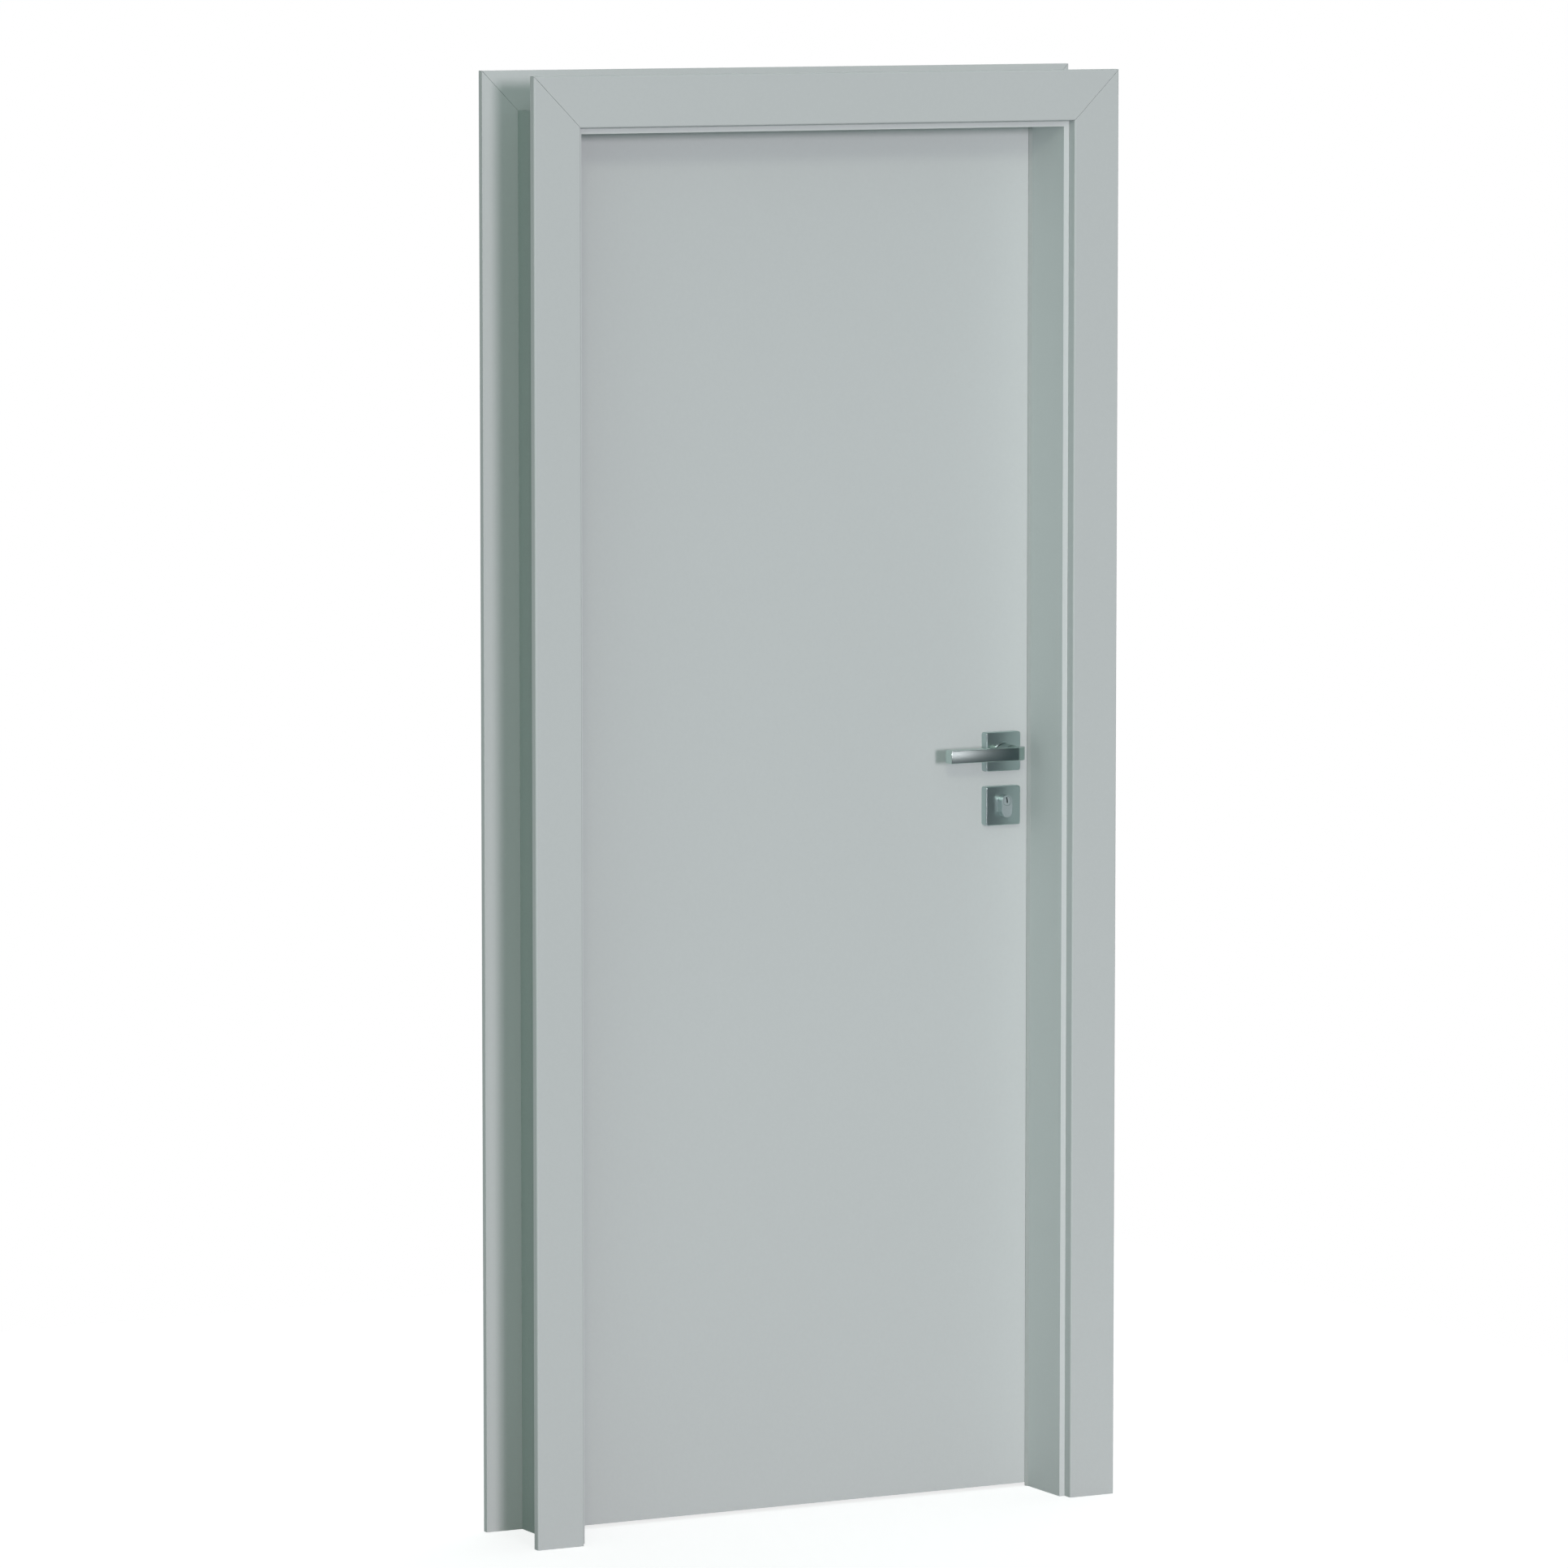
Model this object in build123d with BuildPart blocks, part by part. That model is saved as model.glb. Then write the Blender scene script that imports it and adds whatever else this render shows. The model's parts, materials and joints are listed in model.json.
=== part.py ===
from build123d import *
import os

# Prehung interior door: a flush leaf in a rebated lining, with mitred casings on both sides of the wall.
# X runs across the opening from the hinge side, Y goes through the wall from front to back, Z is up.
# The origin is on the hinge jamb's outer face, at floor level, halfway through the wall.

# Leaf and the gaps around it
leaf_width = 800.0
leaf_height = 2022.0
leaf_thickness = 40.0
hinge_gap = 5.0
latch_gap = 6.5
head_gap = 5.0
floor_gap = 5.0
skin_thickness = 4.0
stile_width = 38.0
rail_height = 60.0

# Wall and lining
wall_thickness = 146.0
lining_thickness = 30.5
lining_setback = 4.75
stop_width = 14.5
leaf_setback = 1.2
casing_seat = 0.3

# Casings
casing_thickness = 12.0
front_casing_width = 73.5
back_casing_width = 68.0
front_reveal = 9.0
back_reveal = 4.75
casing_round = 2.5
casing_mitre_gap = 0.4
tongue_thickness = 8.0
tongue_depth = 17.0
tongue_clearance = 0.3

# Perimeter seal in the corner of the rebate
seal_thickness = 5.7
seal_width = 10.0
seal_overhang = 3.0
seal_lip = 1.2
seal_clearance = 0.3

# Hinges
hinge_height = 100.0
hinge_plate_width = 30.0
hinge_plate_thickness = 2.5
hinge_end_distance = 200.0
knuckle_radius = 6.0
knuckle_standoff = 7.0
knuckle_count = 5
knuckle_clearance = 0.5
pin_radius = 3.0
pin_clearance = 0.08
pin_head_radius = 5.0
pin_head_height = 3.0
mortise_clearance = 0.2

# Lock case front, bolts and strike plate
handle_height = 1100.0
handle_backset = 58.0
lock_centres = 80.0
faceplate_width = 20.0
faceplate_height = 235.0
faceplate_thickness = 3.0
faceplate_round = 9.0
strike_width = 26.0
strike_height = 190.0
strike_thickness = 2.0
strike_round = 6.0
strike_pocket_depth = 11.0
latch_bolt_width = 12.0
latch_bolt_height = 22.0
dead_bolt_width = 11.0
dead_bolt_height = 32.0
bolt_length = 32.0
bolt_clearance = 0.25
strike_clearance = 3.0

# Roses, levers and cylinder
rose_size = 57.5
rose_thickness = 14.0
rose_corner = 3.5
rose_edge = 1.5
collar_radius = 15.0
collar_height = 1.5
collar_edge = 0.9
neck_radius = 12.0
neck_clearance = 0.4
neck_seat = 4.0
lever_projection = 58.0
lever_depth = 18.0
lever_height = 19.0
lever_reach = 111.0
lever_heel = 18.2
lever_bend = 17.0
lever_edge = 0.6
spindle_size = 8.0
spindle_seat = 22.0
spindle_clearance = 0.1
spindle_hole = 9.0
cylinder_width = 17.0
cylinder_height = 32.5
cylinder_projection = 26.0
cylinder_clearance = 0.15
plug_radius = 6.8
plug_length = 30.0
plug_clearance = 0.08
plug_edge = 0.5
keyway_width = 2.0
keyway_height = 8.6
keyway_kink = 3.4
keyway_step = 0.9
keyway_rise = 1.7
keyway_depth = 20.0

# Places that follow from the sizes
rebate = lining_thickness - stop_width
box_width = leaf_width + hinge_gap + latch_gap + 2 * rebate
box_height = floor_gap + leaf_height + head_gap + rebate
wall_front = -wall_thickness / 2
wall_back = wall_thickness / 2
lining_front = wall_front + lining_setback
lining_back = wall_back - casing_seat
leaf_back = lining_back - leaf_setback
leaf_front = leaf_back - leaf_thickness
leaf_middle = (leaf_front + leaf_back) / 2
leaf_left = rebate + hinge_gap
leaf_right = leaf_left + leaf_width
leaf_bottom = floor_gap
leaf_top = leaf_bottom + leaf_height
stop_face = leaf_front - seal_clearance - seal_thickness
front_inner = lining_thickness - front_reveal
back_inner = rebate - back_reveal
tongue_end = lining_front + tongue_depth
handle_x = leaf_right - handle_backset
key_height = handle_height - lock_centres
plug_height = key_height + (cylinder_height - cylinder_width) / 2
knuckle_x = rebate + hinge_gap / 2
knuckle_y = leaf_back + knuckle_standoff
knuckle_pitch = hinge_height / knuckle_count
hinge_heights = {
    "top": leaf_top - hinge_end_distance,
    "middle": (leaf_bottom + leaf_top) / 2,
    "bottom": leaf_bottom + hinge_end_distance,
}
faces = {"front": (leaf_front, -1), "back": (leaf_back, 1)}

os.makedirs("parts", exist_ok=True)


def save(piece, name):
    """Labels a finished piece and writes its file."""
    piece.part.label = name
    export_step(piece.part, f"parts/{name}.step")


def cut_block(low, high):
    """Cuts the box between two opposite corners out of the piece being built."""
    size = [h - l for l, h in zip(low, high)]
    with Locations(low):
        Box(*size, align=(Align.MIN, Align.MIN, Align.MIN), mode=Mode.SUBTRACT)


def leaf_plane(x, z, face, out):
    """Plane on a face of the leaf, facing outwards, with its own Y upwards."""
    return Plane(origin=(x, face, z), x_dir=(-out, 0, 0), z_dir=(0, out, 0))


# Frame members: one section carried round the hinge side, the latch side and the head, mitred at the corners.
# A section is a list of points (inset from the lining's outer face, depth through the wall).

mitre_left = Plane(origin=(0, 0, box_height), z_dir=(1, 0, 1))
mitre_right = Plane(origin=(box_width, 0, box_height), z_dir=(-1, 0, 1))

groove_outer = front_inner - tongue_thickness - tongue_clearance
groove_inner = front_inner + tongue_clearance
groove_end = tongue_end + tongue_clearance

jamb_section = [
    (0, lining_front),
    (groove_outer, lining_front),
    (groove_outer, groove_end),
    (rebate, groove_end),
    (rebate, lining_back),
    (0, lining_back),
]

stop_section = [
    (groove_inner, lining_front),
    (lining_thickness, lining_front),
    (lining_thickness, stop_face),
    (rebate, stop_face),
    (rebate, groove_end),
    (groove_inner, groove_end),
]

front_casing_section = [
    (front_inner - front_casing_width, wall_front - casing_thickness),
    (front_inner, wall_front - casing_thickness),
    (front_inner, tongue_end),
    (front_inner - tongue_thickness, tongue_end),
    (front_inner - tongue_thickness, wall_front),
    (front_inner - front_casing_width, wall_front),
]

back_casing_section = [
    (back_inner - back_casing_width, wall_back),
    (back_inner, wall_back),
    (back_inner, wall_back + casing_thickness),
    (back_inner - back_casing_width, wall_back + casing_thickness),
]

seal_inner = lining_thickness + seal_overhang
seal_section = [
    (seal_inner - seal_width, stop_face),
    (lining_thickness, stop_face),
    (seal_inner, stop_face + seal_thickness - seal_lip),
    (seal_inner, stop_face + seal_thickness),
    (seal_inner - seal_width, stop_face + seal_thickness),
]


def upright(section, mitre, from_left, rounded=0, radius=0, gap=0):
    """Member of one section standing on the floor at a side, mitred at its top.

    rounded picks the section's foremost (0) or rearmost (-1) pair of arrises for the radius.
    gap is the open width of the mitre, shared by the two members that meet there.
    """
    top = box_height - min(inset for inset, depth in section)
    points = [(inset if from_left else box_width - inset, depth) for inset, depth in section]
    with BuildPart() as member:
        with BuildSketch(Plane.XY):
            with BuildLine():
                Polyline(*points, close=True)
            make_face()
        extrude(amount=top)
        if radius:
            fillet(member.edges().filter_by(Axis.Z).group_by(Axis.Y)[rounded], radius=radius)
        split(bisect_by=mitre.offset(-gap / 2), keep=Keep.BOTTOM)
    return member


def crosspiece(section, rounded=0, radius=0, gap=0):
    """Member of one section across the head, mitred at both ends."""
    reach = min(inset for inset, depth in section)
    points = [(depth, -inset) for inset, depth in section]
    with BuildPart() as member:
        with BuildSketch(Plane(origin=(reach, 0, box_height), x_dir=(0, 1, 0), z_dir=(1, 0, 0))):
            with BuildLine():
                Polyline(*points, close=True)
            make_face()
        extrude(amount=box_width - 2 * reach)
        if radius:
            fillet(member.edges().filter_by(Axis.X).group_by(Axis.Y)[rounded], radius=radius)
        for mitre in (mitre_left, mitre_right):
            split(bisect_by=mitre.offset(gap / 2), keep=Keep.TOP)
    return member


trim_sets = {
    "front_casing": (front_casing_section, 0, casing_round, casing_mitre_gap),
    "back_casing": (back_casing_section, -1, casing_round, casing_mitre_gap),
    "seal": (seal_section, 0, 0, 0),
}
for name, (section, rounded, radius, gap) in trim_sets.items():
    save(upright(section, mitre_left, True, rounded, radius, gap), f"{name}_left")
    save(upright(section, mitre_right, False, rounded, radius, gap), f"{name}_right")
    save(crosspiece(section, rounded, radius, gap), f"{name}_head")

# Lining: boards with a thick stop planted on them, which together leave the rebate for the leaf.
# The hinge jamb has mortises for the hinges, the latch jamb a mortise and pockets for the strike plate.

save(upright(stop_section, mitre_left, True), "hinge_jamb_stop")
save(upright(stop_section, mitre_right, False), "latch_jamb_stop")
save(crosspiece(stop_section), "head_jamb_stop")
save(crosspiece(jamb_section), "head_jamb")

mortise_half = hinge_height / 2 + mortise_clearance
mortise_front = leaf_back - hinge_plate_width - mortise_clearance

with BuildPart() as hinge_jamb:
    add(upright(jamb_section, mitre_left, True).part)
    for height in hinge_heights.values():
        cut_block(
            (rebate - hinge_plate_thickness, mortise_front, height - mortise_half),
            (leaf_left, knuckle_y, height + mortise_half),
        )
save(hinge_jamb, "hinge_jamb")

strike_face = box_width - rebate
bolt_middle = leaf_middle
bolts = {
    "latch_bolt": (latch_bolt_width, latch_bolt_height, handle_height),
    "dead_bolt": (dead_bolt_width, dead_bolt_height, key_height),
}
strike_middle = (handle_height + key_height) / 2
strike_plane = Plane(origin=(strike_face, bolt_middle, strike_middle), x_dir=(0, 1, 0), z_dir=(1, 0, 0))

with BuildPart() as latch_jamb:
    add(upright(jamb_section, mitre_right, False).part)
    with BuildSketch(strike_plane):
        RectangleRounded(strike_width + 2 * mortise_clearance, strike_height + 2 * mortise_clearance, strike_round)
    extrude(amount=strike_thickness, mode=Mode.SUBTRACT)
    with BuildSketch(strike_plane.offset(strike_thickness)):
        for width, height, middle in bolts.values():
            with Locations((0, middle - strike_middle)):
                Rectangle(width + 2 * strike_clearance, height + 2 * strike_clearance)
    extrude(amount=strike_pocket_depth, mode=Mode.SUBTRACT)
save(latch_jamb, "latch_jamb")

with BuildPart() as strike_plate:
    with BuildSketch(strike_plane):
        RectangleRounded(strike_width, strike_height, strike_round)
        for width, height, middle in bolts.values():
            with Locations((0, middle - strike_middle)):
                Rectangle(width + 2 * strike_clearance, height + 2 * strike_clearance, mode=Mode.SUBTRACT)
    extrude(amount=strike_thickness)
save(strike_plate, "strike_plate")

# Leaf: two skins over a frame of stiles and rails, hollow between them

inner_front = leaf_front + skin_thickness
inner_back = leaf_back - skin_thickness
stile_depth = inner_back - inner_front

for side, (face, out) in faces.items():
    with BuildPart() as skin:
        with BuildSketch(Plane.XY.offset(leaf_bottom)):
            with Locations((leaf_left, min(face, face - out * skin_thickness))):
                Rectangle(leaf_width, skin_thickness, align=(Align.MIN, Align.MIN))
        extrude(amount=leaf_height)
        with BuildSketch(leaf_plane(handle_x, handle_height, face, out)):
            Circle(spindle_hole)
        extrude(amount=-skin_thickness, mode=Mode.SUBTRACT)
        with BuildSketch(leaf_plane(handle_x, key_height, face, out)):
            SlotOverall(
                cylinder_height + 2 * cylinder_clearance, cylinder_width + 2 * cylinder_clearance, rotation=90
            )
        extrude(amount=-skin_thickness, mode=Mode.SUBTRACT)
        if side == "back":
            for height in hinge_heights.values():
                cut_block(
                    (leaf_left, leaf_back - skin_thickness, height - mortise_half),
                    (leaf_left + hinge_plate_thickness, leaf_back, height + mortise_half),
                )
    save(skin, f"leaf_{side}_skin")

with BuildPart() as hinge_stile:
    with BuildSketch(Plane.XY.offset(leaf_bottom)):
        with Locations((leaf_left, inner_front)):
            Rectangle(stile_width, stile_depth, align=(Align.MIN, Align.MIN))
    extrude(amount=leaf_height)
    for height in hinge_heights.values():
        cut_block(
            (leaf_left, mortise_front, height - mortise_half),
            (leaf_left + hinge_plate_thickness, inner_back, height + mortise_half),
        )
save(hinge_stile, "leaf_hinge_stile")

faceplate_middle = strike_middle
faceplate_plane = Plane(origin=(leaf_right, bolt_middle, faceplate_middle), x_dir=(0, -1, 0), z_dir=(-1, 0, 0))

with BuildPart() as latch_stile:
    with BuildSketch(Plane.XY.offset(leaf_bottom)):
        with Locations((leaf_right, inner_front)):
            Rectangle(stile_width, stile_depth, align=(Align.MAX, Align.MIN))
    extrude(amount=leaf_height)
    with BuildSketch(faceplate_plane):
        RectangleRounded(
            faceplate_width + 2 * mortise_clearance, faceplate_height + 2 * mortise_clearance, faceplate_round
        )
    extrude(amount=faceplate_thickness, mode=Mode.SUBTRACT)
    with BuildSketch(faceplate_plane.offset(faceplate_thickness)):
        for width, height, middle in bolts.values():
            with Locations((0, middle - faceplate_middle)):
                Rectangle(width + 2 * bolt_clearance, height + 2 * bolt_clearance)
    extrude(amount=stile_width, mode=Mode.SUBTRACT)
save(latch_stile, "leaf_latch_stile")

for name, bottom in (("top", leaf_top - rail_height), ("bottom", leaf_bottom)):
    with BuildPart() as rail:
        with BuildSketch(Plane.XY.offset(bottom)):
            with Locations((leaf_left + stile_width, inner_front)):
                Rectangle(leaf_width - 2 * stile_width, stile_depth, align=(Align.MIN, Align.MIN))
        extrude(amount=rail_height)
    save(rail, f"leaf_{name}_rail")

with BuildPart() as lock_faceplate:
    with BuildSketch(faceplate_plane):
        RectangleRounded(faceplate_width, faceplate_height, faceplate_round)
        for width, height, middle in bolts.values():
            with Locations((0, middle - faceplate_middle)):
                Rectangle(width + 2 * bolt_clearance, height + 2 * bolt_clearance, mode=Mode.SUBTRACT)
    extrude(amount=faceplate_thickness)
save(lock_faceplate, "lock_faceplate")

for name, (width, height, middle) in bolts.items():
    with BuildPart() as bolt:
        with BuildSketch(faceplate_plane):
            with Locations((0, middle - faceplate_middle)):
                Rectangle(width, height)
        extrude(amount=bolt_length)
    save(bolt, name)

# Hinges: a half let into the jamb, a half let into the leaf, and a pin with a head at each end

knuckle_bore = pin_radius + pin_clearance
plate_front = leaf_back - hinge_plate_width
halves = {
    "frame": (rebate - hinge_plate_thickness, rebate, 0),
    "leaf": (leaf_left, leaf_left + hinge_plate_thickness, 1),
}
for place, height in hinge_heights.items():
    for half, (plate_low, plate_high, first) in halves.items():
        with BuildPart() as hinge_half:
            with BuildSketch(Plane.XY.offset(height - hinge_height / 2)):
                with Locations((plate_low, plate_front)):
                    Rectangle(plate_high - plate_low, hinge_plate_width, align=(Align.MIN, Align.MIN))
            extrude(amount=hinge_height)
            for knuckle in range(first, knuckle_count, 2):
                bottom = height - hinge_height / 2 + knuckle * knuckle_pitch + knuckle_clearance / 2
                with BuildSketch(Plane.XY.offset(bottom)):
                    with Locations((plate_low, leaf_back - hinge_plate_thickness)):
                        Rectangle(
                            plate_high - plate_low,
                            knuckle_standoff + hinge_plate_thickness,
                            align=(Align.MIN, Align.MIN),
                        )
                    with Locations((knuckle_x, knuckle_y)):
                        Circle(knuckle_radius)
                        Circle(knuckle_bore, mode=Mode.SUBTRACT)
                extrude(amount=knuckle_pitch - knuckle_clearance)
        save(hinge_half, f"hinge_{half}_half_{place}")
    with BuildPart() as pin:
        pin_half = (hinge_height - knuckle_clearance) / 2
        with BuildSketch(Plane.XY.offset(height - pin_half)):
            with Locations((knuckle_x, knuckle_y)):
                Circle(pin_radius)
        extrude(amount=2 * pin_half)
        for end, way in ((height + pin_half, 1), (height - pin_half, -1)):
            with BuildSketch(Plane.XY.offset(end)):
                with Locations((knuckle_x, knuckle_y)):
                    Circle(pin_head_radius)
            extrude(amount=way * pin_head_height)
        crowns = pin.edges().filter_by(GeomType.CIRCLE).sort_by(Axis.Z)
        fillet([crowns[0], crowns[-1]], radius=pin_head_height * 0.6)
    save(pin, f"hinge_pin_{place}")

# Handle set: the same roses, lever and plug on each face of the leaf, one cylinder and one spindle through it

for side, (face, out) in faces.items():
    with BuildPart() as rose:
        with BuildSketch(leaf_plane(handle_x, handle_height, face, out)):
            RectangleRounded(rose_size, rose_size, rose_corner)
        extrude(amount=rose_thickness)
        front = rose.faces().sort_by(Axis.Y)[0 if out < 0 else -1]
        fillet(front.edges(), radius=rose_edge)
        with BuildSketch(leaf_plane(handle_x, handle_height, face + out * rose_thickness, out)):
            Circle(collar_radius)
        extrude(amount=collar_height)
        front = rose.faces().sort_by(Axis.Y)[0 if out < 0 else -1]
        fillet(front.edges(), radius=min(collar_edge, collar_height - 0.1))
        with BuildSketch(leaf_plane(handle_x, handle_height, face, out)):
            Circle(neck_radius + neck_clearance)
        extrude(amount=rose_thickness + collar_height, mode=Mode.SUBTRACT)
    save(rose, f"{side}_rose")

    with BuildPart() as key_rose:
        with BuildSketch(leaf_plane(handle_x, key_height, face, out)):
            RectangleRounded(rose_size, rose_size, rose_corner)
        extrude(amount=rose_thickness)
        front = key_rose.faces().sort_by(Axis.Y)[0 if out < 0 else -1]
        fillet(front.edges(), radius=rose_edge)
        with BuildSketch(leaf_plane(handle_x, key_height, face, out)):
            SlotOverall(
                cylinder_height + 2 * cylinder_clearance, cylinder_width + 2 * cylinder_clearance, rotation=90
            )
        extrude(amount=rose_thickness, mode=Mode.SUBTRACT)
    save(key_rose, f"{side}_key_rose")

    lever_face = face + out * lever_projection
    lever_inside = lever_face - out * lever_depth
    with BuildPart() as lever:
        with BuildSketch(Plane.XY.offset(handle_height - lever_height / 2)):
            with Locations((handle_x + lever_heel, (lever_face + lever_inside) / 2)):
                Rectangle(lever_reach + lever_heel, lever_depth, align=(Align.MAX, Align.CENTER))
            heel = vertices().group_by(Axis.X)[-1].sort_by(Axis.Y)
            fillet(heel[0 if out < 0 else -1], radius=min(lever_bend, lever_depth - lever_edge, lever_heel))
        extrude(amount=lever_height)
        fillet(lever.edges(), radius=lever_edge)
        neck_end = rose_thickness - neck_seat
        with BuildSketch(leaf_plane(handle_x, handle_height, face + out * neck_end, out)):
            Circle(neck_radius)
        extrude(amount=lever_projection - lever_depth - neck_end)
        with BuildSketch(leaf_plane(handle_x, handle_height, face + out * neck_end, out)):
            Rectangle(spindle_size + 2 * spindle_clearance, spindle_size + 2 * spindle_clearance)
        extrude(amount=spindle_seat, mode=Mode.SUBTRACT)
    save(lever, f"{side}_lever")

    plug_face = face + out * cylinder_projection
    with BuildPart() as plug:
        with BuildSketch(leaf_plane(handle_x, plug_height, plug_face, out)):
            Circle(plug_radius)
        extrude(amount=-plug_length)
        front = plug.faces().sort_by(Axis.Y)[0 if out < 0 else -1]
        chamfer(front.edges(), length=plug_edge)
        with BuildSketch(leaf_plane(handle_x, plug_height, plug_face, out)):
            with Locations((0, keyway_rise - keyway_height / 2)):
                Rectangle(keyway_width, keyway_height - keyway_kink, align=(Align.CENTER, Align.MIN))
            with Locations((-keyway_step, keyway_rise + keyway_height / 2)):
                Rectangle(keyway_width, keyway_kink, align=(Align.CENTER, Align.MAX))
        extrude(amount=-keyway_depth, mode=Mode.SUBTRACT)
    save(plug, f"{side}_plug")

cylinder_length = leaf_thickness + 2 * cylinder_projection
cylinder_start = leaf_front - cylinder_projection
with BuildPart() as lock_cylinder:
    with BuildSketch(leaf_plane(handle_x, key_height, cylinder_start, -1)):
        SlotOverall(cylinder_height, cylinder_width, rotation=90)
    extrude(amount=-cylinder_length)
    for side, (face, out) in faces.items():
        with BuildSketch(leaf_plane(handle_x, plug_height, face + out * cylinder_projection, out)):
            Circle(plug_radius + plug_clearance)
        extrude(amount=-plug_length, mode=Mode.SUBTRACT)
save(lock_cylinder, "lock_cylinder")

spindle_reach = rose_thickness - neck_seat + spindle_seat - spindle_clearance
with BuildPart() as spindle:
    with BuildSketch(leaf_plane(handle_x, handle_height, leaf_front - spindle_reach, -1)):
        Rectangle(spindle_size, spindle_size)
    extrude(amount=-(leaf_thickness + 2 * spindle_reach))
save(spindle, "spindle")
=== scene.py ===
"""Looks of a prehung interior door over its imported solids: paint, rubber, satin metal, screws and light."""

import json
import math

import bpy
import numpy as np
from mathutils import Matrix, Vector


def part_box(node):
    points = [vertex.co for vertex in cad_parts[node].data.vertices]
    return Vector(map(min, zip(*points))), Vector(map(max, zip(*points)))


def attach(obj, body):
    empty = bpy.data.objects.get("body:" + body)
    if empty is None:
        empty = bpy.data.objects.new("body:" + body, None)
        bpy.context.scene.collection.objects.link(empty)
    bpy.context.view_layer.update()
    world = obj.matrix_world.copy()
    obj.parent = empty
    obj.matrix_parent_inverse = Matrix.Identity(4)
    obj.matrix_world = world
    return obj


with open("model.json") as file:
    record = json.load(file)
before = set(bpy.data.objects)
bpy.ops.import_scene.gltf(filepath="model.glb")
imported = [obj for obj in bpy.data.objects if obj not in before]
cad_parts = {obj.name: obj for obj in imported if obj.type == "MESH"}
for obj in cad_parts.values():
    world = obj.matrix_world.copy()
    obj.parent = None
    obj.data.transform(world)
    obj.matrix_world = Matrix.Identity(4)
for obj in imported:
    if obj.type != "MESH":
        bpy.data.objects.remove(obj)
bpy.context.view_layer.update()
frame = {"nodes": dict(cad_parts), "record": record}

MM = 0.001
GOLDEN_ANGLE = math.pi * (3 - math.sqrt(5))


# Shader maths

# A colour Mix node's sockets share their names with others, so they go by number
MIX_FACTOR, MIX_FIRST, MIX_SECOND = 0, 6, 7
MIX_RESULT = 2


class Signal:
    """A node's output. Arithmetic on signals adds Math nodes to their tree."""

    def __init__(self, nodes, socket):
        self.nodes = nodes
        self.socket = socket

    def math(self, operation, first, second):
        return self.nodes.add("ShaderNodeMath", {"operation": operation}, {0: first, 1: second})

    def __add__(self, other):
        return self.math("ADD", self, other)

    def __radd__(self, other):
        return self.math("ADD", other, self)

    def __sub__(self, other):
        return self.math("SUBTRACT", self, other)

    def __rsub__(self, other):
        return self.math("SUBTRACT", other, self)

    def __mul__(self, other):
        return self.math("MULTIPLY", self, other)

    def __rmul__(self, other):
        return self.math("MULTIPLY", other, self)


class Nodes:
    """A node tree that is filled through one call, add."""

    def __init__(self, owner):
        owner.use_nodes = True
        self.tree = owner.node_tree
        self.tree.nodes.clear()

    def add(self, kind, settings=None, sockets=None, output=0):
        """Adds a node, sets it up, fills its sockets with values or links, and gives back one output."""
        node = self.tree.nodes.new(kind)
        for name, value in (settings or {}).items():
            setattr(node, name, value)
        for key, value in (sockets or {}).items():
            if isinstance(value, Signal):
                self.tree.links.new(value.socket, node.inputs[key])
            else:
                node.inputs[key].default_value = value
        return Signal(self, node.outputs[output]) if len(node.outputs) else node

    def noise(self, place, scale, detail=2.0, roughness=0.5, stretch=(1, 1, 1)):
        """Noise from 0 to 1 over the object's own coordinates, with its grains drawn out by stretch."""
        place = self.add("ShaderNodeMapping", None, {"Vector": place, "Scale": [scale / s for s in stretch]})
        sockets = {"Vector": place, "Scale": 1.0, "Detail": detail, "Roughness": roughness}
        return self.add("ShaderNodeTexNoise", None, sockets)

    def spread(self, signal, low, high, to_low=0.0, to_high=1.0):
        """Maps low to high smoothly onto to_low to to_high, held at the ends."""
        sockets = {"Value": signal, "From Min": low, "From Max": high, "To Min": to_low, "To Max": to_high}
        return self.add("ShaderNodeMapRange", {"interpolation_type": "SMOOTHSTEP"}, sockets)

    def blend(self, factor, first, second):
        """Colour that goes from first to second."""
        sockets = {MIX_FACTOR: factor, MIX_FIRST: first, MIX_SECOND: second}
        return self.add("ShaderNodeMix", {"data_type": "RGBA"}, sockets, MIX_RESULT)

    def bump(self, height, distance=1.0):
        """Normal of a surface raised by height times distance, in metres."""
        return self.add("ShaderNodeBump", None, {"Strength": 1.0, "Distance": distance, "Height": height})

    def split(self, vector):
        """The X, Y and Z parts of a vector."""
        outputs = self.add("ShaderNodeSeparateXYZ", None, {"Vector": vector}).socket.node.outputs
        return [Signal(self, part) for part in outputs]

    def rays(self, *kinds):
        """Signals that are 1 where the ray is of the named kind, and 0 elsewhere."""
        outputs = self.add("ShaderNodeLightPath").socket.node.outputs
        return [Signal(self, outputs[f"Is {kind} Ray"]) for kind in kinds]


def linear(red, green, blue):
    """Linear colour of screen values from 0 to 255."""
    screen = np.array([red, green, blue]) / 255
    light = np.where(screen <= 0.04045, screen / 12.92, ((screen + 0.055) / 1.055) ** 2.4)
    return (*light.tolist(), 1.0)


def scaled(colour, factor):
    """The same linear colour, lighter or darker by one factor."""
    return (*(factor * c for c in colour[:3]), 1.0)


# Finishes

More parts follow.
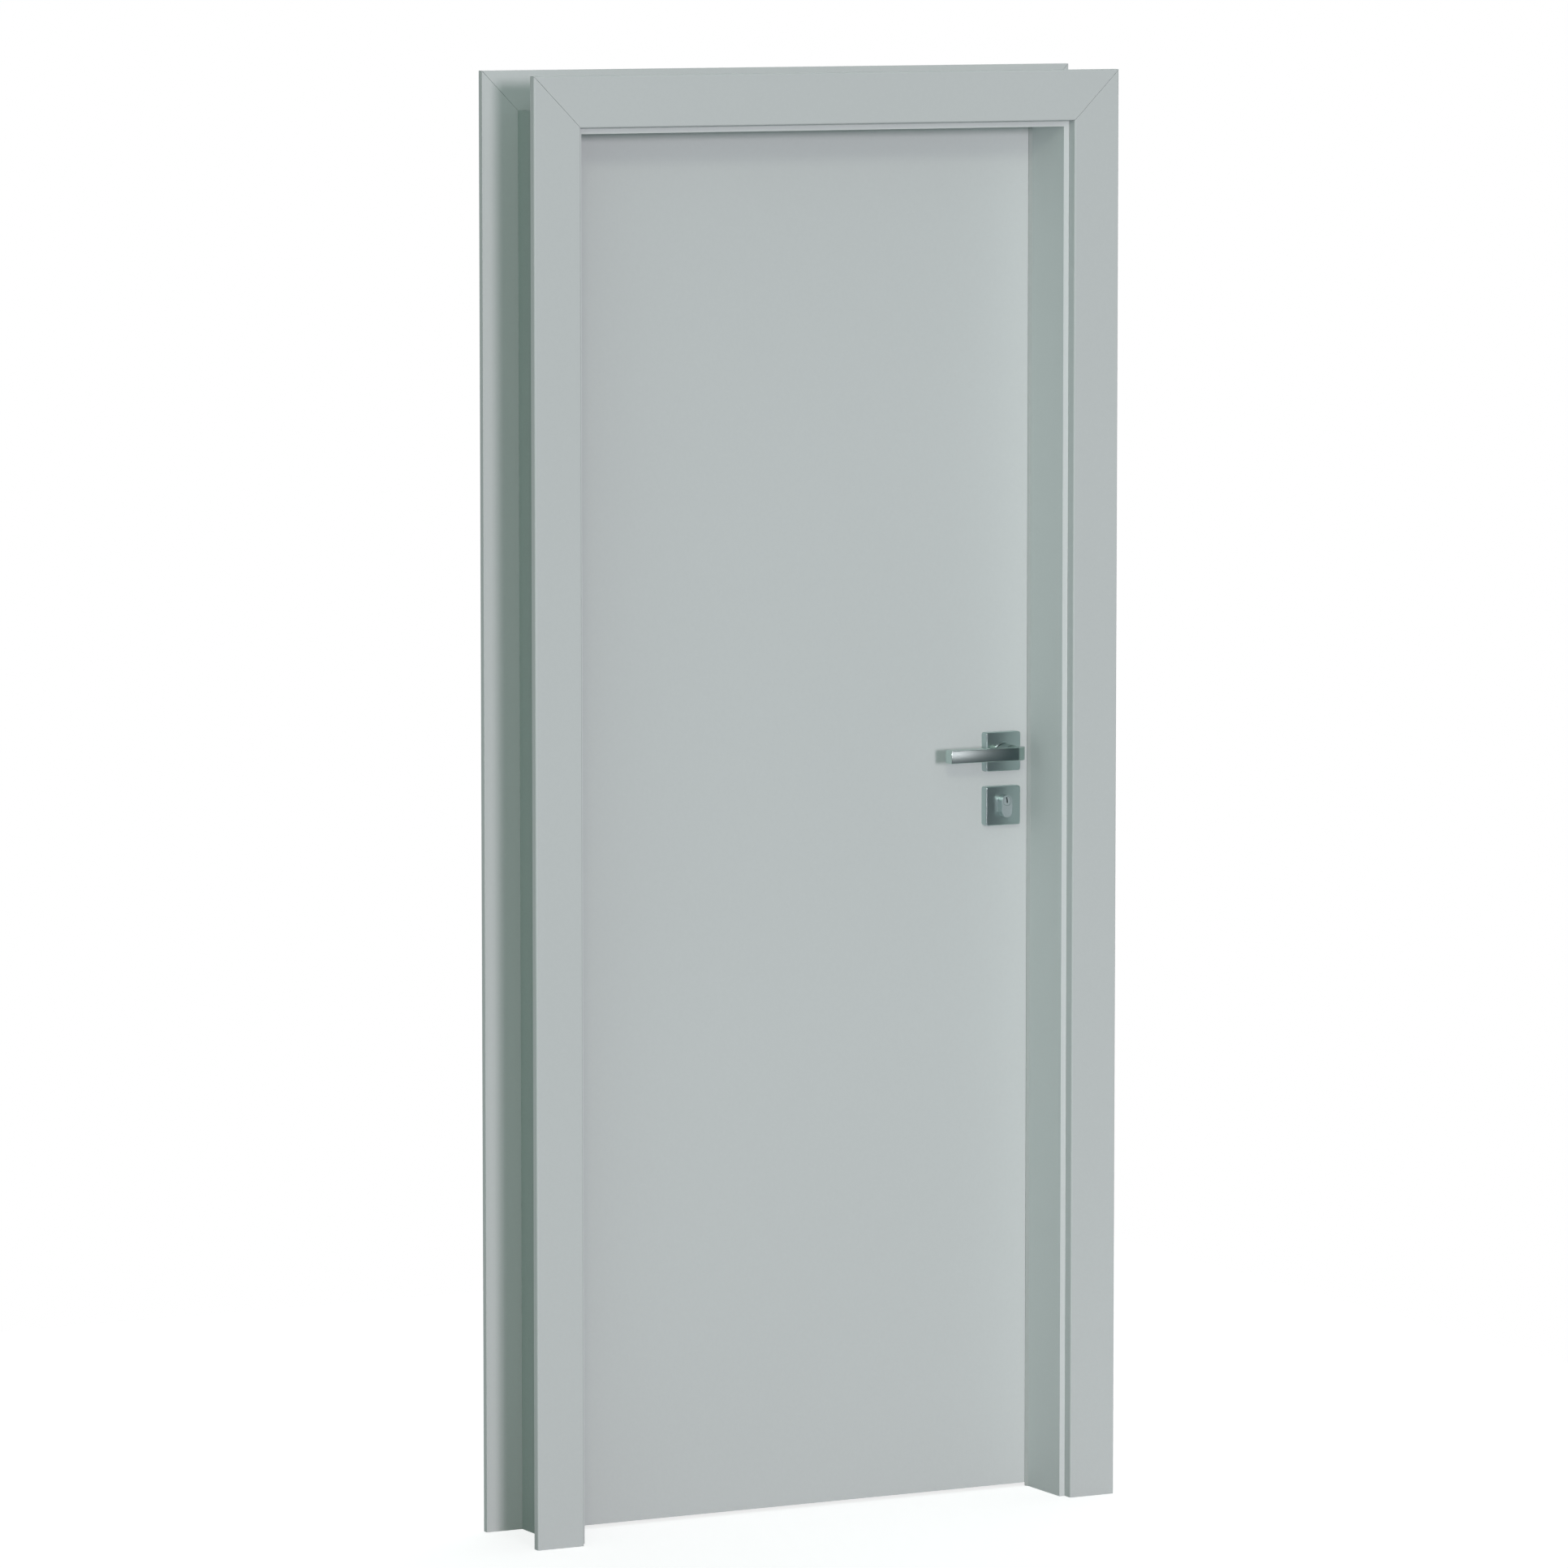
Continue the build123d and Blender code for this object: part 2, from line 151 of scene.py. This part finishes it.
paint_grey = linear(200, 207, 206)
# The lining takes the leaf's paint made lighter, as painted light for the light bounced into the reveal
lining_painted_light_grey = linear(209, 216, 215)
# Primer grey of the lining's faces against the wall, made dark as painted shade of the channel between the
# casings
wall_shade_grey = linear(165, 179, 174)
seal_grey = linear(178, 186, 184)
# The casings take the same paint a little darker, as painted shade
casing_painted_shade = 0.965
edge_shade = 0.97
paint_specular = 0.12
paint_depth = 0.035
wall_shade_depth = 0.06
wall_shade_reach = (0.2 * MM, 0.6 * MM)
lining_width, lining_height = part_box("latch_jamb")[1][0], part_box("head_jamb")[1][2]
lever_low, lever_high = (Vector(corner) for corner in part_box("front_lever"))
lever_lean, lever_bend = 0.182, 19.6
lever_middle = (lever_low.z + lever_high.z) / 2 - 1.6 * MM
lever_crown = 66 * MM
lever_sweep = (lever_low.x, lever_lean, lever_bend, lever_middle, lever_crown)


def new_finish(name):
    """An empty material, its nodes and the place on the surface in the object's own coordinates."""
    material = bpy.data.materials.new(name)
    nodes = Nodes(material)
    place = nodes.add("ShaderNodeTexCoord", output="Object")
    return material, nodes, place


def close_finish(nodes, **sockets):
    """Ends a material with one Principled shader."""
    named = {key.replace("_", " "): value for key, value in sockets.items()}
    shader = nodes.add("ShaderNodeBsdfPrincipled", None, named)
    nodes.add("ShaderNodeOutputMaterial", None, {"Surface": shader})


def varied(nodes, tone, colour, depth):
    """Colour that goes from a share depth darker to as much lighter while tone goes from 0 to 1."""
    return nodes.blend(tone, scaled(colour, 1 - depth), scaled(colour, 1 + depth))


def wall_shade_mask(nodes, place):
    """1 on the lining's faces that go against the wall, which get a dark primer tone as painted shade, and 0
    on the other faces.
    """
    across, _, height = nodes.split(place)
    near, far = wall_shade_reach
    left = nodes.spread(across, near, far, 1.0, 0.0)
    right = nodes.spread(across, lining_width - far, lining_width - near)
    top = nodes.spread(height, lining_height - far, lining_height - near)
    return nodes.add("ShaderNodeMath", {"operation": "ADD", "use_clamp": True}, {0: left + right, 1: top})


def rolled_paint(name, colour, gloss_roughness, stipple_height, paint_wall_shade=False):
    """Satin paint on board: a slow drift of tone, a fine mottle and the stipple of a short-pile roller.

    With the last argument true, the faces that go against the wall get a dark primer tone: painted shade for
    the channel between the casings.
    """
    material, nodes, place = new_finish(name)
    drift = nodes.noise(place, scale=1.7, detail=1)
    mottle = nodes.noise(place, scale=240, detail=3)
    stipple = nodes.noise(place, scale=620, detail=2, roughness=0.6)
    orange_peel = nodes.noise(place, scale=130, detail=1)
    shade = varied(nodes, drift * 0.45 + mottle * 0.55, colour, paint_depth)
    # Painted shade: the lining's wall-side faces take the dark primer tone
    if paint_wall_shade:
        wall_shade_tone = varied(nodes, mottle, wall_shade_grey, wall_shade_depth)
        shade = nodes.blend(wall_shade_mask(nodes, place), shade, wall_shade_tone)
    roughness = gloss_roughness + (mottle - 0.5) * 0.12
    normal = nodes.bump(stipple * 0.7 + orange_peel * 0.3, stipple_height)
    close_finish(
        nodes, Base_Color=shade, Roughness=roughness, Specular_IOR_Level=paint_specular, Normal=normal
    )
    return material


def seal_rubber(name, colour):
    """Soft rubber: a dusty mottle in its tone and its dull skin, and fine pores."""
    material, nodes, place = new_finish(name)
    dust = nodes.noise(place, scale=90, detail=4, roughness=0.65)
    pores = nodes.noise(place, scale=1500, detail=1)
    shade = nodes.blend(dust, scaled(colour, 0.93), scaled(colour, 1.05))
    roughness = 0.62 + dust * 0.16
    close_finish(nodes, Base_Color=shade, Roughness=roughness, Normal=nodes.bump(pores, 0.03 * MM))
    return material


def swept_height(nodes, place, start, lean, bend, middle, radius):
    """Height in metres of a face that sweeps back to its free end and is crowned across.

    At u from the free end it rises by lean u - bend u cubed / 3, and at z from its middle line it falls by
    z squared / (2 radius).
    """
    x, _, z = nodes.split(place)
    along = x - start
    across = z - middle
    return along * (lean - along * along * (bend / 3)) - across * across * (0.5 / radius)


def satin_metal(name, colour, satin_roughness, grain, stretch, grain_depth, grain_height, sweep=None):
    """Satin metal: fine grains drawn out along the way it was brushed, in its tone, its gloss and its bump.

    sweep, where it is given, holds the start, lean, bend, middle and radius of a gently swept face.
    """
    material, nodes, place = new_finish(name)
    lines = nodes.noise(place, scale=grain, detail=2, roughness=0.6, stretch=stretch)
    specks = nodes.noise(place, scale=820, detail=1)
    smudges = nodes.noise(place, scale=36, detail=2)
    shade = varied(nodes, lines * 0.6 + specks * 0.4, colour, grain_depth)
    roughness = satin_roughness + (lines - 0.5) * 0.02 + (smudges - 0.5) * 0.03
    height = lines * grain_height
    if sweep:
        height = height + swept_height(nodes, place, *sweep)
    close_finish(nodes, Base_Color=shade, Metallic=1.0, Roughness=roughness, Normal=nodes.bump(height))
    return material


finishes = {
    "casing_paint": rolled_paint(
        "casing_paint", scaled(paint_grey, casing_painted_shade), gloss_roughness=0.52, stipple_height=0.02 * MM
    ),
    "lining_paint": rolled_paint(
        "lining_paint", lining_painted_light_grey, gloss_roughness=0.52, stipple_height=0.02 * MM, paint_wall_shade=True
    ),
    "leaf_paint": rolled_paint(
        "leaf_paint", paint_grey, gloss_roughness=0.5, stipple_height=0.015 * MM
    ),
    "leaf_edge": rolled_paint(
        "leaf_edge", scaled(paint_grey, edge_shade), gloss_roughness=0.55, stipple_height=0.03 * MM
    ),
    "seal_rubber": seal_rubber("seal_rubber", seal_grey),
    "hinge_steel": satin_metal(
        "hinge_steel", linear(196, 200, 202), satin_roughness=0.34,
        grain=900, stretch=(1, 1, 12), grain_depth=0.07, grain_height=0.01 * MM,
    ),
    "bolt_steel": satin_metal(
        "bolt_steel", linear(190, 194, 196), satin_roughness=0.3,
        grain=900, stretch=(10, 1, 1), grain_depth=0.06, grain_height=0.008 * MM,
    ),
    "rose_satin": satin_metal(
        "rose_satin", linear(188, 207, 205), satin_roughness=0.3,
        grain=2400, stretch=(1, 1, 1.6), grain_depth=0.1, grain_height=0.0008 * MM,
    ),
    "lever_satin": satin_metal(
        "lever_satin", linear(196, 214, 209), satin_roughness=0.25,
        grain=1100, stretch=(22, 6, 1), grain_depth=0.05, grain_height=0.0008 * MM, sweep=lever_sweep,
    ),
    "cylinder_satin": satin_metal(
        "cylinder_satin", linear(196, 214, 213), satin_roughness=0.48,
        grain=2000, stretch=(1, 6, 1), grain_depth=0.08, grain_height=0.0008 * MM,
    ),
}
for subpart in frame["record"]["subparts"]:
    frame["nodes"][subpart["node"]].material_slots[0].material = finishes[subpart["material_slot"]]


# Screws

screw_crown = 0.6 * MM
screw_rim = 0.35 * MM
screw_sink = 0.5 * MM
hinge_screw_radius = 4.2 * MM
strike_screw_radius = 3.8 * MM
lock_screw_radius = 3.6 * MM
hinge_plate_width = 30 * MM
hinge_faces = {"frame": (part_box("hinge_jamb")[1][0], 1), "leaf": (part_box("leaf_hinge_stile")[0][0], -1)}
hinge_rows = np.array([[0, -5, -38], [0, 5, -13], [0, -5, 13], [0, 5, 38]]) * MM
strike_rows = np.array([[0, 0, -86], [0, 0, 86]]) * MM
lock_rows = np.array([[0, 0, -109], [0, 0, -67.5], [0, 0, 109]]) * MM
body_of = {node: body for body, nodes in frame["record"]["behaviour"]["bodies"].items() for node in nodes}


def add_mesh(name, points, faces, material):
    """A mesh piece from points and faces, with creases kept sharp."""
    mesh = bpy.data.meshes.new(name)
    mesh.from_pydata(points.tolist(), [], faces)
    mesh.materials.append(material)
    mesh.polygons.foreach_set("use_smooth", np.ones(len(mesh.polygons), dtype=bool))
    mesh.set_sharp_from_angle(angle=math.radians(32))
    piece = bpy.data.objects.new(name, mesh)
    bpy.context.scene.collection.objects.link(piece)
    return piece


def screw_head(radius, crown, rim, sink, rings=26, spokes=64):
    """Rings of points of a raised screw head along +Z, then the points and faces that close it at both poles.

    At a share s of the radius the head stands rim + crown (1 - s squared) above its plate. A cross with arms
    0.26 radius wide and 1.24 radius long is sunk into it with sloping walls, almost down to the plate. Below
    the rim a skirt goes sink into the plate.
    """
    share = np.linspace(0, 1, rings + 1)[1:, None]
    turn = np.linspace(0, 2 * np.pi, spokes, endpoint=False)[None, :]
    x, y = radius * share * np.cos(turn), radius * share * np.sin(turn)
    across, along = np.minimum(abs(x), abs(y)), np.maximum(abs(x), abs(y))
    wall = 0.07 * radius
    half_width, reach = 0.13 * radius, 0.62 * radius
    arm = np.clip((half_width + wall - across) / wall, 0, 1) * np.clip((reach - along) / wall, 0, 1)
    floor_height = 0.25 * rim
    height = rim + crown * (1 - share**2)
    height = height + (floor_height - height) * arm
    top = np.stack([x, y, height], axis=-1)
    skirt = top[-1:] * (1, 1, 0) - (0, 0, sink)
    loops = np.concatenate([top, skirt])
    index = np.arange(loops.shape[0] * spokes).reshape(-1, spokes)
    after = np.roll(index, -1, axis=1)
    quads = np.stack([index[:-1], index[1:], after[1:], after[:-1]], axis=-1).reshape(-1, 4)
    crest = np.full(spokes, index.size)
    first_fan = np.stack([crest, index[0], after[0]], axis=-1)
    last_fan = np.stack([crest + 1, after[-1], index[-1]], axis=-1)
    points = np.concatenate([loops.reshape(-1, 3), [(0, 0, floor_height), (0, 0, -sink)]])
    return points, quads.tolist() + first_fan.tolist() + last_fan.tolist()


def add_screws(node, centres, out, radius):
    """Raised screw heads on a flat face of a node, each turned by the golden angle from the one before.

    out is 1 where the face looks along +X, and -1 where it looks along -X.
    """
    points, faces = screw_head(radius, screw_crown, screw_rim, screw_sink)
    axis = np.array([out, 0.0, 0.0])
    up = np.array([0.0, 0.0, 1.0])
    side = np.cross(up, axis)
    for number, centre in enumerate(centres):
        spin = GOLDEN_ANGLE * (number + 0.4)
        first = side * math.cos(spin) + up * math.sin(spin)
        basis = np.array([first, np.cross(axis, first), axis])
        piece = add_mesh(f"{node}_screw_{number}", points @ basis + centre, faces, finishes["bolt_steel"])
        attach(piece, body_of[node])


def plate_centre(node, face_x):
    """Middle of a node's box, moved to the face at face_x."""
    low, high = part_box(node)
    return np.array([face_x, (low[1] + high[1]) / 2, (low[2] + high[2]) / 2])


for place in ("top", "middle", "bottom"):
    for half, (face_x, out) in hinge_faces.items():
        node = f"hinge_{half}_half_{place}"
        middle = plate_centre(node, face_x)
        middle[1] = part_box(node)[0][1] + hinge_plate_width / 2
        add_screws(node, middle + hinge_rows, out, hinge_screw_radius)
strike_face, lock_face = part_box("strike_plate")[0][0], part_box("lock_faceplate")[1][0]
add_screws("strike_plate", plate_centre("strike_plate", strike_face) + strike_rows, -1, strike_screw_radius)
add_screws("lock_faceplate", plate_centre("lock_faceplate", lock_face) + lock_rows, 1, lock_screw_radius)


# Camera, at the place fitted to the photograph's edges

camera_place = (-5.4761, -11.1367, 2.4019)
camera_down, camera_turn = 6.0317, 27.7755
camera = bpy.data.objects.new("camera", bpy.data.cameras.new("camera"))
camera.data.sensor_width = 36.0
camera.data.lens = 200.73
camera.data.clip_end = 1000
camera.location = camera_place
camera.rotation_euler = (math.radians(90 - camera_down), 0, math.radians(-camera_turn))
bpy.context.scene.collection.objects.link(camera)
bpy.context.scene.camera = camera


# Light: a frontal key, a weaker light from above and to the left, and a tinted ambient

ambient_lobes = {
    "front_left": ((-0.70, -0.70, 0.14), (0.71, 0.815, 0.785)),
    "front": ((0.0, -0.99, 0.1), (0.04, 0.085, 0.10)),
    "back": ((0.5, 0.86, 0.1), (1.56, 1.66, 1.63)),
    "right": ((0.9, 0.42, 0.1), (0.70, 0.76, 0.75)),
    "up": ((0.0, 0.3, 0.95), (0.18, 0.20, 0.20)),
}
ambient_below = 0.8
horizon_low, horizon_high = -0.25, 0.05
studio_edge, backdrop_edge = -0.1, 0.35
backdrop_white = (1.0, 1.0, 1.0, 1.0)
studio_dark = (0.036, 0.058, 0.064, 1.0)


def add_sun(name, energy, colour, toward, angle):
    """A sun lamp that shines from the direction toward, seen from the object, and is angle degrees wide."""
    lamp = bpy.data.lights.new(name, "SUN")
    lamp.energy = energy
    lamp.color = colour
    lamp.angle = math.radians(angle)
    holder = bpy.data.objects.new(name, lamp)
    holder.location = (0, 0, 4)
    holder.rotation_euler = Vector(toward).to_track_quat("Z", "Y").to_euler()
    holder.visible_camera = False
    bpy.context.scene.collection.objects.link(holder)


def light_world():
    """White backdrop behind the object, a dark studio before it for reflections, and broad ambient lobes.

    The ambient light from a direction is the sum of the lobes' colours, each weighted by the square of the
    cosine between the direction and the lobe's middle, where that cosine is above zero. It fades below the
    horizon.
    """
    world = bpy.data.worlds.new("studio")
    bpy.context.scene.world = world
    nodes = Nodes(world)
    direction = nodes.add("ShaderNodeTexCoord", output="Generated")
    ambient = (0.0, 0.0, 0.0)
    for middle, colour in ambient_lobes.values():
        towards = {0: direction, 1: middle}
        cosine = nodes.add("ShaderNodeVectorMath", {"operation": "DOT_PRODUCT"}, towards, "Value")
        cosine = nodes.add("ShaderNodeMath", {"operation": "MAXIMUM"}, {0: cosine, 1: 0.0})
        weight = cosine * cosine
        lobe = nodes.add("ShaderNodeVectorMath", {"operation": "SCALE"}, {0: colour, "Scale": weight})
        ambient = nodes.add("ShaderNodeVectorMath", {"operation": "ADD"}, {0: ambient, 1: lobe})
    _, depth, height = nodes.split(direction)
    above = nodes.spread(height, horizon_low, horizon_high, ambient_below, 1.0)
    ambient = nodes.add("ShaderNodeVectorMath", {"operation": "SCALE"}, {0: ambient, "Scale": above})
    camera_ray, mirror_ray, glass_ray = nodes.rays("Camera", "Glossy", "Transmission")
    behind = nodes.spread(depth, studio_edge, backdrop_edge)
    mirror_colour = nodes.blend(behind, studio_dark, backdrop_white)
    colour = nodes.blend(mirror_ray, ambient, mirror_colour)
    colour = nodes.blend(camera_ray + glass_ray, colour, backdrop_white)
    shader = nodes.add("ShaderNodeBackground", None, {"Color": colour, "Strength": 1.0})
    nodes.add("ShaderNodeOutputWorld", None, {"Surface": shader})


add_sun("front_key", energy=1.36, colour=(1.0, 0.876, 0.94), toward=(-0.118, -1.0, 0.09), angle=8.6)
add_sun("upper_light", energy=0.3, colour=(1.0, 0.98, 0.83), toward=(-0.53, -1.0, 0.47), angle=9)
light_world()


# Floor: pale, white to the camera, with a weak shadow

floor_left, floor_right = -1.3, 2.1
floor_front, floor_back = -1.2, 2.0
paper_dark, paper_pale = (0.42, 0.43, 0.43, 1.0), (0.45, 0.46, 0.46, 1.0)
paper_glow = 0.77


def floor_paper(name):
    """Pale studio paper with a faint tooth, which glows to the camera and in mirrors and takes a shadow."""
    material, nodes, place = new_finish(name)
    tooth = nodes.noise(place, scale=40, detail=3)
    paper = nodes.add("ShaderNodeBsdfDiffuse", None, {"Color": nodes.blend(tooth, paper_dark, paper_pale)})
    camera_ray, mirror_ray, glass_ray = nodes.rays("Camera", "Glossy", "Transmission")
    glow = (camera_ray + mirror_ray + glass_ray) * paper_glow
    light = nodes.add("ShaderNodeEmission", None, {"Color": glow, "Strength": 1.0})
    both = nodes.add("ShaderNodeAddShader", None, {0: paper, 1: light})
    nodes.add("ShaderNodeOutputMaterial", None, {"Surface": both})
    return material


floor_points = np.array(
    [
        (floor_left, floor_front, 0.0),
        (floor_right, floor_front, 0.0),
        (floor_right, floor_back, 0.0),
        (floor_left, floor_back, 0.0),
    ]
)
floor = add_mesh("floor", floor_points, [(0, 1, 2, 3)], floor_paper("floor_paper"))

bpy.context.scene.view_settings.view_transform = "Standard"
